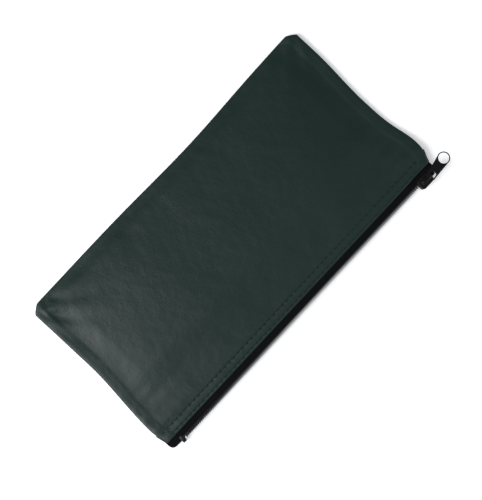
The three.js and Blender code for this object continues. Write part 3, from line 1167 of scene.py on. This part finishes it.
    def columns_across(self) -> tuple[np.ndarray, np.ndarray, np.ndarray]:
        """How the sheet's columns lie, from the middle to a seam and round its turned edge.

        Returns:
            For each column its share of the flat width, its distance in from the edge, and
            how far round the turn it is, from 0 on the outer face to 1 on the allowance.
        """
        flat = np.concatenate([[0.0, 0.002], np.linspace(0.01, 1.0, self.columns)])
        angle = np.linspace(0.0, math.pi, 11)[1:]
        back = np.linspace(0.0, 1.0, 5)[1:]
        share = np.concatenate([flat, np.ones(len(angle) + len(back))])
        inset = np.concatenate([
            np.full(len(flat), self.seam_turn),
            self.seam_turn * (1.0 - np.sin(angle)),
            mix(self.seam_turn, self.seam_allowance, back),
        ])
        turn = np.concatenate([np.zeros(len(flat)), 0.5 - 0.5 * np.cos(angle), np.ones(len(back))])
        return share, inset, turn

    def rows_down(self, half: Half) -> tuple[np.ndarray, np.ndarray, np.ndarray, np.ndarray]:
        """How the sheet's rows lie, from the fold to the mouth and round the turned hem.

        Args:
            half: Front or back. Only the front half goes round the fold.

        Returns:
            For each row the share of the way from the fold to the hem zone, or AT_FOLD or
            AT_HEM outside it; its distance from the fold or the hem there; how far round the
            fold it is; and how far round the hem.
        """
        fold = np.linspace(math.pi, 0.0, 11)[:-1] if half is Half.FRONT else np.empty(0)
        main = np.linspace(0.0, 1.0, 66)
        zone = np.linspace(self.hem_zone, self.hem_turn, 44)[1:]
        turn = np.linspace(0.0, math.pi, 11)[1:]
        back = np.linspace(self.hem_turn, self.hem_depth, 9)[1:]
        count = len(fold)
        rest = len(zone) + len(turn) + len(back)
        share = np.concatenate([np.full(count, AT_FOLD), main, np.full(rest, AT_HEM)])
        inset = np.concatenate([
            self.fold_turn * (1.0 - np.sin(fold)),
            np.zeros(len(main)),
            zone,
            self.hem_turn * (1.0 - np.sin(turn)),
            back,
        ])
        round_fold = np.concatenate([0.5 - 0.5 * np.cos(fold), np.zeros(len(main) + rest)])
        round_hem = np.concatenate([
            np.zeros(count + len(main) + len(zone)),
            0.5 - 0.5 * np.cos(turn),
            np.ones(len(back)),
        ])
        return share, inset, round_fold, round_hem

    def points(self, half: Half, side: Side) -> np.ndarray:
        """The sheet's outer face as a grid of points.

        Y comes from the row: the fold's or the hem's turn, or a share of the way between
        them. X comes from the column: a share of the flat width at that Y, or the seam's
        turn. The height is the face's own height, drawn to the seam's middle plane round the
        seam's turn, to the other half's face round the fold, and by the hem's thickness round
        the hem.

        Args:
            half: Front or back.
            side: The end of the bag.

        Returns:
            Rows by columns by three.
        """
        share, inset, seam_turn = self.columns_across()
        row_share, row_inset, round_fold, round_hem = self.rows_down(half)
        rough_x = side.value * share[None, :] * self.half_length
        fold = self.fold_line(rough_x) - self.fold_turn
        zone = self.place.hem_y + self.hem_zone
        main = mix(fold, zone, row_share[:, None])
        at_fold = self.fold_line(rough_x) - row_inset[:, None]
        at_hem = self.place.hem_y + row_inset[:, None] + 0.0 * rough_x
        y = np.where(row_share[:, None] >= 0.0, main,
                     np.where(row_share[:, None] == AT_FOLD, at_fold, at_hem))
        past_fold = 1.0 - smooth((fold - y) / (6.0 * MM))
        past_hem = 1.0 - smooth((y - self.place.hem_y - self.hem_turn) / (6.0 * MM))
        past_hem = past_hem * (1.0 - smooth(3.0 * round_hem[:, None] - 2.0))
        y = y + self.allowance_step * seam_turn[None, :] * (past_hem - past_fold)
        edge = self.outline(y, side)
        flat = inset[None, :] >= self.seam_turn - 1e-9
        inner = share[None, :] < 1.0
        reach = np.where(inner & flat, share[None, :] * (edge - self.seam_turn),
                         edge - inset[None, :])
        x = side.value * reach
        top = self.top(x, y, side)
        middle = 0.5 * self.top(side.value * (edge - self.seam_turn), y, side)
        turn = seam_turn[None, :]
        lap = round_hem[:, None] * self.hem_layers * (1.0 - turn)
        under = self.underside(x, y) + (middle - self.underside(x, y)) * turn
        if half is Half.BACK:
            z = mix(self.underside(x, y) + lap, middle - LAYER_GAP, turn)
        else:
            upper = mix(top - lap, middle + LAYER_GAP, turn)
            z = mix(upper, under, round_fold[:, None])
        return np.stack([x, y, z], axis=2)

    def underside(self, x: np.ndarray, y: np.ndarray) -> np.ndarray:
        """Height of the back half's outer face: on the table, lifted a little at the hem.

        Args:
            x: Places along X.
            y: Places along Y.

        Returns:
            The heights.
        """
        from_hem = y - self.place.hem_y
        slack = 0.06 * MM * (1.0 + ripple(x, y, (40.0 * MM, 90.0 * MM), 6, SEED + 3))
        lift = self.place.back_hem_top - self.hem_layers - LAYER_GAP
        return np.maximum(slack, 0.0) + lift * (1.0 - smooth(from_hem / (26.0 * MM)))

    def build(self, half: Half, finishes: Finishes) -> list[bpy.types.Object]:
        """Makes one half of the shell in two pieces that meet at the middle.

        Args:
            half: Front or back.
            finishes: The materials.

        Returns:
            The pieces.
        """
        pieces = []
        for side in Side:
            flip = (side is Side.LEFT) != (half is Half.BACK)
            patch = grid_patch(self.points(half, side), flip)
            name = f"{half.value}_vinyl_{side.word}"
            piece = make_piece(name, patch, [finishes.vinyl, finishes.backing])
            thicken(piece, self.thickness, -1.0, 1)
            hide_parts(f"{half.value}_panel")
            carry(piece, half, side)
            pieces.append(piece)
        return pieces


# ---------------------------------------------------------------- threads


@dataclass
class HemStitching:
    """Two rows of lockstitch along each hem."""

    shell: Shell
    thread: float = 0.46 * MM
    gap: float = 0.55 * MM
    dip: float = 0.34 * MM
    wander: float = 0.05 * MM
    seat: float = 0.42
    steps: int = 9
    sides: int = 8

    def row(self, half: Half, row_y: float, side: Side, z: float | None) -> Patch:
        """Stitches of one row in one end of the bag, each an arch that dives into its holes.

        Along a stitch, x runs from one needle hole to the next, and the height is the
        surface's plus the square root of the arch's sine, less the dip at both ends.

        Args:
            half: Front or back.
            row_y: The row's place along Y.
            side: The end of the bag.
            z: Height of the surface, or None to follow the front half.

        Returns:
            The stitches.
        """
        pitch = self.shell.stitch_pitch
        count = int(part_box(f"{half.value}_hem_stitching_outer")[1][0] / pitch)
        draw = np.random.default_rng(SEED + 20 + side.value)
        t = np.linspace(0.0, 1.0, self.steps)
        start = np.arange(count) * pitch + self.gap / 2.0
        x = side.value * (start[:, None] + t[None, :] * (pitch - self.gap))
        y = row_y + draw.normal(0.0, self.wander, count)[:, None] + 0.0 * t
        base = self.shell.top(x, np.full_like(x, row_y), side) if z is None else z + 0.0 * x
        arch = np.sqrt(np.clip(np.sin(math.pi * t), 0.0, 1.0))
        height = base + self.thread * self.seat - self.dip * (1.0 - arch[None, :])
        paths = np.stack([x, y, height], axis=2)
        return tubes(paths, self.thread / 2.0, self.sides, (0.0, 0.0, 1.0))

    def build(self, half: Half, finishes: Finishes) -> list[bpy.types.Object]:
        """Makes the rows of one hem.

        Args:
            half: Front or back.
            finishes: The materials.

        Returns:
            The pieces, two for each row.
        """
        pieces = []
        surface = None if half is Half.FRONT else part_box("back_tape")[1][2]
        for row, row_y in zip(("outer", "inner"), self.shell.place.row_y):
            for side in Side:
                name = f"{half.value}_{row}_stitches_{side.word}"
                patch = self.row(half, row_y, side, surface)
                piece = make_piece(name, patch, [finishes.green_thread],
                                   capped=True)
                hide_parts(f"{half.value}_hem_stitching_{row}")
                carry(piece, half, side)
                pieces.append(piece)
        return pieces


@dataclass
class SeamStitching:
    """The running thread of each side seam, inside between the two panels."""

    thread: float = 0.2 * MM
    pitch: float = 3.4 * MM
    swing: float = 0.03 * MM
    steps: int = 260
    sides: int = 6

    def build(self, finishes: Finishes) -> list[bpy.types.Object]:
        """Makes both seams' threads.

        The thread runs along Y and rises and falls as a sine of its length, once a stitch.

        Args:
            finishes: The materials.

        Returns:
            The two pieces.
        """
        pieces = []
        for side in Side:
            node = f"{side.word}_seam_stitching"
            low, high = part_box(node)
            y = np.linspace(low[1], high[1], self.steps)
            x = np.full_like(y, (low[0] + high[0]) / 2.0)
            middle = (low[2] + high[2]) / 2.0
            z = middle + self.swing * np.sin(2.0 * math.pi * y / self.pitch)
            path = np.stack([x, y, z], axis=1)[None]
            patch = tubes(path, self.thread / 2.0, self.sides, (0.0, 0.0, 1.0))
            name = f"{side.word}_seam_thread"
            piece = make_piece(name, patch, [finishes.green_thread], capped=True)
            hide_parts(node)
            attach(piece, "bag")
            pieces.append(piece)
        return pieces


# ---------------------------------------------------------------- the zip


@dataclass
class Chain:
    """One side of the zip: tape, coil, filler cord and the thread that holds the coil."""

    half: Half
    pitch: float = 25.4 / 15.0 * MM
    wire: float = 0.66 * MM
    head_swell: float = 1.15
    root_lead: float = 0.92
    tape_setback: float = 1.1 * MM
    cord_setback: float = 0.3 * MM
    steps_a_turn: int = 16
    wire_sides: int = 6
    tape_thickness: float = 0.45 * MM
    ribbon_step: float = 0.9 * MM
    ribbon_columns: int = 23
    end_round: float = 4.0 * MM
    end_cut: float = 0.6 * MM
    setback_run: float = 2.0 * MM
    cord_steps: int = 220
    cord_fill: float = 0.34
    cord_lay: float = 0.9 * MM
    lacing_radius: float = 0.13 * MM
    lacing_rise: float = 0.02 * MM
    lacing_swing: float = 0.07 * MM
    lacing_places: tuple[float, float] = (0.1 * MM, 0.8 * MM)

    def box(self, part: str) -> tuple:
        """Corners of this chain's tape, coil or other node."""
        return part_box(f"{self.half.value}_{part}")

    def end_of(self, part: str, side: Side) -> float:
        """How far a node reaches from the middle towards one end of the bag."""
        low, high = self.box(part)
        return high[0] if side is Side.RIGHT else -low[0]

    def tape(self, side: Side) -> Patch:
        """One end's stretch of tape: rows along X, with raised cords near its two edges.

        The outer edge curves back to the tape's end with a round corner, and along the coil it
        is set back so that the coil's heads stand clear. The height is the tape's middle plane
        plus a shallow wave and the two raised cords.

        Args:
            side: The end of the bag.

        Returns:
            The sheet.
        """
        low, high = self.box("tape")
        end = self.end_of("tape", side)
        near = end - self.end_round * 1.1
        bend = np.sin(np.linspace(0.0, math.pi / 2.0, 12))[1:]
        along = np.linspace(0.0, near, int(near / self.ribbon_step) + 1)
        along = np.concatenate([along, mix(near, end, bend)])
        to_end = end - along
        round_off = self.end_round if side is Side.LEFT else self.end_cut
        into = np.clip(1.0 - to_end / round_off, 0.0, 1.0)
        trim = round_off * (1.0 - np.sqrt(1.0 - into * into))
        across = np.linspace(0.0, 1.0, self.ribbon_columns)
        past_coil = (self.end_of("coil", side) - along) / self.setback_run
        trim = trim + self.tape_setback * smooth(past_coil)
        y = mix(high[1], low[1] + trim[:, None], across[None, :])
        x = side.value * along[:, None] + 0.0 * y
        middle = (low[2] + high[2]) / 2.0
        cords = 0.05 * MM * (bell((across - 0.88) / 0.03) + bell((across - 0.72) / 0.03))
        wave = 0.03 * MM * ripple(x, y, (6.0 * MM, 20.0 * MM), 8, SEED + 5)
        z = middle + cords[None, :] + wave
        return grid_patch(np.stack([x, y, z], axis=2), side is Side.RIGHT)

    def coil(self, side: Side) -> Patch:
        """One end's stretch of coil: a wire wound in flat ovals, a turn for each head.

        Round a turn, y swings between the root and the head as a cosine, height swings
        between the two faces as a sine, and x moves on by one pitch: quickly at the root and
        hardly at all at the head. The wire is flattened wider at the head.

        Args:
            side: The end of the bag.

        Returns:
            The wire.
        """
        low, high = self.box("coil")
        turns = int(self.end_of("coil", side) / self.pitch)
        t = side.value * np.linspace(0.0, turns, turns * self.steps_a_turn + 1)
        angle = 2.0 * math.pi * t
        radius = self.wire / 2.0
        root, head = high[1] - radius, low[1] + radius
        y = (root + head) / 2.0 + (root - head) / 2.0 * np.cos(angle)
        z = (low[2] + high[2]) / 2.0 + ((high[2] - low[2]) / 2.0 - radius) * np.sin(angle)
        x = self.pitch * (t + self.root_lead / (2.0 * math.pi) * np.sin(angle))
        headed = bell((np.cos(angle) + 1.0) / 0.35)
        path = np.stack([x, y, z], axis=1)[None]
        widen = (1.0 + (self.head_swell - 1.0) * headed)[None]
        return tubes(path, radius, self.wire_sides, (1.0, 0.0, 0.0), widen)

    def cord(self, side: Side) -> Patch:
        """One end's stretch of the cord inside the coil, a straight twisted rod.

        Its radius swells and narrows as a sine of its length, once a lay.

        Args:
            side: The end of the bag.

        Returns:
            The cord.
        """
        low, high = self.box("coil_cord")
        x = side.value * np.linspace(0.0, self.end_of("coil_cord", side), self.cord_steps)
        middle = [(low[k] + high[k]) / 2.0 for k in (1, 2)]
        y = np.full_like(x, middle[0] + self.cord_setback)
        path = np.stack([x, y, np.full_like(x, middle[1])], axis=1)
        bulge = 1.0 + 0.08 * np.sin(2.0 * math.pi * x / self.cord_lay)
        radius = (high[1] - low[1]) * self.cord_fill * bulge[None]
        return tubes(path[None], radius, 8, (0.0, 0.0, 1.0))

    def lacing(self, side: Side) -> Patch:
        """Two threads along the coil that rise over each wire and sink between turns.

        The height is the coil's outer face plus a cosine of x, once a pitch.

        Args:
            side: The end of the bag.

        Returns:
            The threads.
        """
        low, high = self.box("coil_stitching")
        end = self.end_of("coil_stitching", side)
        count = int(end / self.pitch) * 8
        x = np.linspace(0.0, end, count + 1)
        above = self.half is Half.FRONT
        face = self.box("coil")[1][2] if above else self.box("coil")[0][2]
        outward = 1.0 if above else -1.0
        wave = np.cos(2.0 * math.pi * (side.value * x / self.pitch - 0.25))
        z = face + outward * (self.lacing_rise + self.lacing_swing * wave)
        paths = []
        for shift in self.lacing_places:
            y = np.full_like(x, (low[1] + high[1]) / 2.0 + shift)
            paths.append(np.stack([side.value * x, y, z], axis=1))
        return tubes(np.stack(paths), self.lacing_radius, 6, (0.0, 0.0, 1.0))

    def build(self, finishes: Finishes) -> list[bpy.types.Object]:
        """Makes the chain in two pieces of each kind that meet at the middle.

        Args:
            finishes: The materials.

        Returns:
            The pieces.
        """
        kinds = [
            ("tape", self.tape, "zip_tape", finishes.tape),
            ("coil", self.coil, "coil", finishes.nylon),
            ("coil_cord", self.cord, "filler_cord", finishes.cord),
            ("coil_stitching", self.lacing, "black_thread", finishes.black_thread),
        ]
        pieces = []
        for part, shape, slot, finish in kinds:
            for side in Side:
                name = f"{self.half.value}_{part}_{side.word}"
                piece = make_piece(name, shape(side), [finish], capped=part != "tape")
                if part == "tape":
                    thicken(piece, self.tape_thickness, 0.0)
                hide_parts(f"{self.half.value}_{part}")
                carry(piece, self.half, side)
                pieces.append(piece)
        return pieces


# ---------------------------------------------------------------- metal parts


@dataclass
class Castings:
    """Slider body and stops: cast pieces with softened edges."""

    edge: float = 0.16 * MM
    rounded_from: float = math.radians(35.0)
    weld: float = 0.002 * MM
    segments: int = 2

    def build(self, finishes: Finishes) -> list[bpy.types.Object]:
        """Makes a softened copy of each cast node.

        Args:
            finishes: The materials.

        Returns:
            The pieces.
        """
        bodies = {"slider_body": "slider", "front_top_stop": "bag", "back_top_stop": "bag",
                  "bottom_stop": "bag"}
        pieces = []
        for node, body in bodies.items():
            mesh = frame["nodes"][node].data.copy()
            piece = bpy.data.objects.new(f"{node}_cast", mesh)
            bpy.context.scene.collection.objects.link(piece)
            mesh.materials.clear()
            mesh.materials.append(finishes.enamel)
            weld = piece.modifiers.new("weld", "WELD")
            weld.merge_threshold = self.weld
            bevel = piece.modifiers.new("edges", "BEVEL")
            bevel.width = self.edge
            bevel.segments = self.segments
            bevel.limit_method = "ANGLE"
            bevel.angle_limit = self.rounded_from
            bake_modifiers(piece, CAST_EDGE)
            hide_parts(node)
            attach(piece, body)
            pieces.append(piece)
        return pieces


@dataclass
class PullTab:
    """Flat pull with an eye round the bridge and a large finger hole."""

    thickness: float = 0.96 * MM
    edge: float = 0.24 * MM
    eye_length: float = 4.4 * MM
    eye_width: float = 4.8 * MM
    eye_wall: float = 0.96 * MM
    hole: float = 7.8 * MM
    hole_wall: float = 0.8 * MM
    reach: float = 17.1 * MM
    slope: float = math.radians(3.103)
    sides: int = 48

    def loops(self) -> list[np.ndarray]:
        """Outline, eye and finger hole in the tab's own plane, from the bar's middle along X.

        The outline is a straight bar with cut corners, two tapering sides, and a half circle
        round the finger hole. The eye is a rectangle whose corners are quarter circles.

        Returns:
            Points of each loop.
        """
        back = -self.thickness / 2.0
        half = self.eye_width / 2.0 + self.eye_wall
        middle = (self.thickness + self.eye_length) / 2.0
        around = np.linspace(-math.pi / 2.0, math.pi / 2.0, self.sides // 2 + 1)
        ring = (self.hole / 2.0 + self.hole_wall) * np.stack([np.cos(around), np.sin(around)], 1)
        ring = ring + np.array([self.reach, 0.0])
        start = [[back, self.eye_wall - half], [back + self.eye_wall, -half], [middle, -half]]
        outline = np.concatenate([start, ring, np.array(start)[::-1] * [1.0, -1.0]])
        corner = self.eye_length / 4.0
        quarter = np.linspace(0.0, math.pi / 2.0, 6)
        corners = []
        for turn, (sx, sy) in enumerate([(1, 1), (-1, 1), (-1, -1), (1, -1)]):
            centre = np.array([middle + sx * (self.eye_length / 2.0 - corner),
                               sy * (self.eye_width / 2.0 - corner)])
            angle = quarter + turn * math.pi / 2.0
            corners.append(centre + corner * np.stack([np.cos(angle), np.sin(angle)], 1))
        full = 2.0 * math.pi * np.arange(self.sides) / self.sides
        finger = self.hole / 2.0 * np.stack([np.cos(full), np.sin(full)], 1)
        return [outline, np.concatenate(corners), finger + np.array([self.reach, 0.0])]

    def plate(self) -> bpy.types.Mesh:
        """The loops filled as a flat curve, given its thickness and its rounded edges.

        Returns:
            The plate's mesh, in its own plane.
        """
        curve = bpy.data.curves.new("pull_outline", "CURVE")
        curve.dimensions = "2D"
        curve.fill_mode = "BOTH"
        curve.extrude = self.thickness / 2.0 - self.edge
        curve.bevel_depth = self.edge
        curve.bevel_resolution = 3
        curve.offset = -self.edge
        for loop in self.loops():
            spline = curve.splines.new("POLY")
            spline.points.add(len(loop) - 1)
            flat = np.concatenate([loop, np.zeros((len(loop), 1)), np.ones((len(loop), 1))], 1)
            spline.points.foreach_set("co", flat.ravel())
            spline.use_cyclic_u = True
        carrier = bpy.data.objects.new("pull_carrier", curve)
        bpy.context.scene.collection.objects.link(carrier)
        graph = bpy.context.evaluated_depsgraph_get()
        mesh = bpy.data.meshes.new_from_object(carrier.evaluated_get(graph))
        bpy.data.objects.remove(carrier)
        return mesh

    def build(self, finishes: Finishes) -> list[bpy.types.Object]:
        """Makes the tab and hangs it on the slider's bridge.

        Args:
            finishes: The materials.

        Returns:
            The one piece.
        """
        mesh = self.plate()
        swing = next(joint for joint in frame["joints"] if joint["name"] == "pull_swing")
        axis = Vector(swing["axis"]).normalized()
        along = axis.cross(Vector((0.0, 0.0, 1.0))) * -1.0
        along.normalize()
        tilt = Matrix.Rotation(self.slope, 4, Vector((0.0, 1.0, 0.0)))
        yaw = Matrix.Rotation(math.atan2(along.y, along.x), 4, "Z")
        mesh.transform(Matrix.Translation(swing["pos_m"]) @ yaw @ tilt)
        close_caps(mesh)
        mesh.set_sharp_from_angle(angle=CAST_EDGE)
        mesh.materials.clear()
        mesh.materials.append(finishes.enamel)
        piece = bpy.data.objects.new("pull_plate", mesh)
        bpy.context.scene.collection.objects.link(piece)
        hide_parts("pull_tab")
        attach(piece, "pull")
        return [piece]


# ---------------------------------------------------------------- studio


@dataclass(frozen=True)
class Lamp:
    """A square soft light."""

    name: str
    place: tuple[float, float, float]
    size: float
    watts: float

    def build(self, target: Vector) -> None:
        """Adds the light.

        Args:
            target: The place that it is aimed at.
        """
        data = bpy.data.lights.new(self.name, "AREA")
        data.size = self.size
        data.energy = self.watts
        lamp = bpy.data.objects.new(self.name, data)
        aim = target - Vector(self.place)
        lamp.rotation_euler = aim.to_track_quat("-Z", "Y").to_euler()
        lamp.location = self.place
        bpy.context.scene.collection.objects.link(lamp)


@dataclass
class Studio:
    """Pale floor, soft lights and the camera above the bag."""

    right: tuple[float, float] = (0.6810, -0.7323)
    centre: tuple[float, float] = (-1.7 * MM, -9.0 * MM)
    height: float = 845.0 * MM
    lens: float = 85.0
    floor_size: float = 6.0
    floor_gap: float = 0.15 * MM
    sky: tuple[float, float, float, float] = (0.95, 0.97, 1.0, 1.0)
    sky_strength: float = 0.2
    lamps: tuple[Lamp, ...] = (
        Lamp("key", (-1.25, 0.50, 1.15), 1.2, 38.0),
        Lamp("fill", (1.00, -1.50, 0.90), 1.4, 18.0),
        Lamp("sheen", (-0.50, -0.05, 1.20), 0.4, 1.6),
    )

    def camera(self) -> None:
        """Looks straight down with the zip running up to the right."""
        rx, ry = self.right
        data = bpy.data.cameras.new("camera")
        data.lens = self.lens
        data.clip_start = 0.01
        camera = bpy.data.objects.new("camera", data)
        turn = Matrix(((rx, -ry, 0.0), (ry, rx, 0.0), (0.0, 0.0, 1.0))).to_4x4()
        camera.matrix_world = Matrix.Translation((*self.centre, self.height)) @ turn
        bpy.context.scene.collection.objects.link(camera)
        bpy.context.scene.camera = camera

    def floor(self) -> None:
        """A wide plain floor just under the bag."""
        half = self.floor_size / 2.0
        line = np.linspace(-half, half, 3)
        x, y = np.meshgrid(line, line, indexing="xy")
        points = np.stack([x, y, np.full_like(x, -self.floor_gap)], axis=2)
        patch = grid_patch(points, flip=True)
        mesh = bpy.data.meshes.new("floor")
        mesh.from_pydata(patch.points.tolist(), [], patch.quads.tolist())
        floor = bpy.data.objects.new("floor", mesh)
        mesh.materials.append(FloorFinish().material("pale_floor"))
        bpy.context.scene.collection.objects.link(floor)

    def build(self) -> None:
        """Makes the floor, the lights, the surroundings and the camera."""
        self.camera()
        self.floor()
        for lamp in self.lamps:
            lamp.build(Vector((*self.centre, 0.0)))
        world = bpy.data.worlds.new("surroundings")
        world.use_nodes = True
        background = world.node_tree.nodes["Background"]
        background.inputs["Color"].default_value = self.sky
        background.inputs["Strength"].default_value = self.sky_strength
        bpy.context.scene.world = world
        bpy.context.scene.view_settings.view_transform = "Standard"


def report(pieces: list[bpy.types.Object]) -> None:
    """Logs the pieces just made.

    Args:
        pieces: The pieces.
    """
    for piece in pieces:
        LOG.info("made %s with %d faces", piece.name, len(piece.data.polygons))


def main() -> None:
    """Builds the studio and every part of the bag."""
    logging.basicConfig(level=logging.INFO, format="%(name)s: %(message)s")
    Studio().build()
    finishes = Finishes()
    place = Layout.from_frame()
    shell = Shell(place)
    shell.start_fill = FILL_BEFORE_SETTLING
    shell.relief = Settling().run(shell)
    for half in Half:
        report(shell.build(half, finishes))
        report(HemStitching(shell).build(half, finishes))
        report(Chain(half).build(finishes))
    report(SeamStitching().build(finishes))
    report(Castings().build(finishes))
    report(PullTab().build(finishes))
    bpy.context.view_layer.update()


if __name__ == "__main__":
    main()
